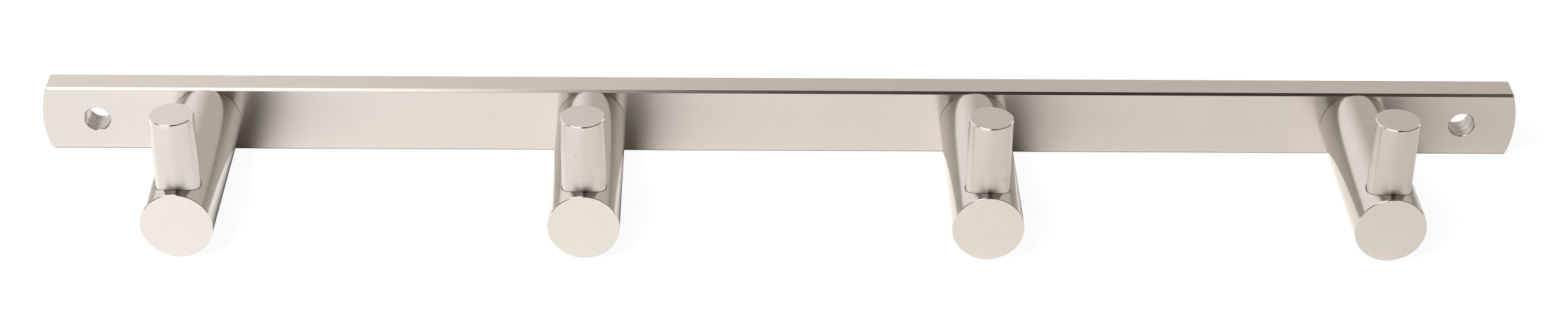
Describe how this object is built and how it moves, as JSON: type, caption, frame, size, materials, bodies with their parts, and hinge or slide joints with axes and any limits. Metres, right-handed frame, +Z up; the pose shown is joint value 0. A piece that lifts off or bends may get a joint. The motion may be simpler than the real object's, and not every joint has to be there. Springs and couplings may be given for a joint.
{
  "type": "wall hook rack",
  "caption": "Wall rack of brushed stainless steel: a flat rail with bowed ends carries round posts, each with a short upright bar near its tip.",
  "frame": {"origin": "centre of the rail's rear face, which lies against the wall", "axes": "+X along the rail, +Y into the wall (the posts point along -Y into the room), +Z up, the way the uprights stand"},
  "size_m": [0.42, 0.064, 0.0398],
  "materials": {
    "rail_steel": "brushed along its length, clear polished edge",
    "post_steel": "turned and brushed around, brushed front face",
    "upright_steel": "turned and brushed around, polished top edge",
    "screw_steel": "plain machined stainless steel",
    "stud_steel": "plain machined stainless steel",
    "pin_steel": "ground"
  },
  "bodies": {
    "root": {"rail": "rail_steel", "post_1": "post_steel", "upright_1": "upright_steel", "post_screw_1": "screw_steel", "upright_stud_1": "stud_steel", "post_pin_1": "pin_steel", "post_2": "post_steel", "upright_2": "upright_steel", "post_screw_2": "screw_steel", "upright_stud_2": "stud_steel", "post_pin_2": "pin_steel", "post_3": "post_steel", "upright_3": "upright_steel", "post_screw_3": "screw_steel", "upright_stud_3": "stud_steel", "post_pin_3": "pin_steel", "post_4": "post_steel", "upright_4": "upright_steel", "post_screw_4": "screw_steel", "upright_stud_4": "stud_steel", "post_pin_4": "pin_steel"}
  },
  "joints": []
}
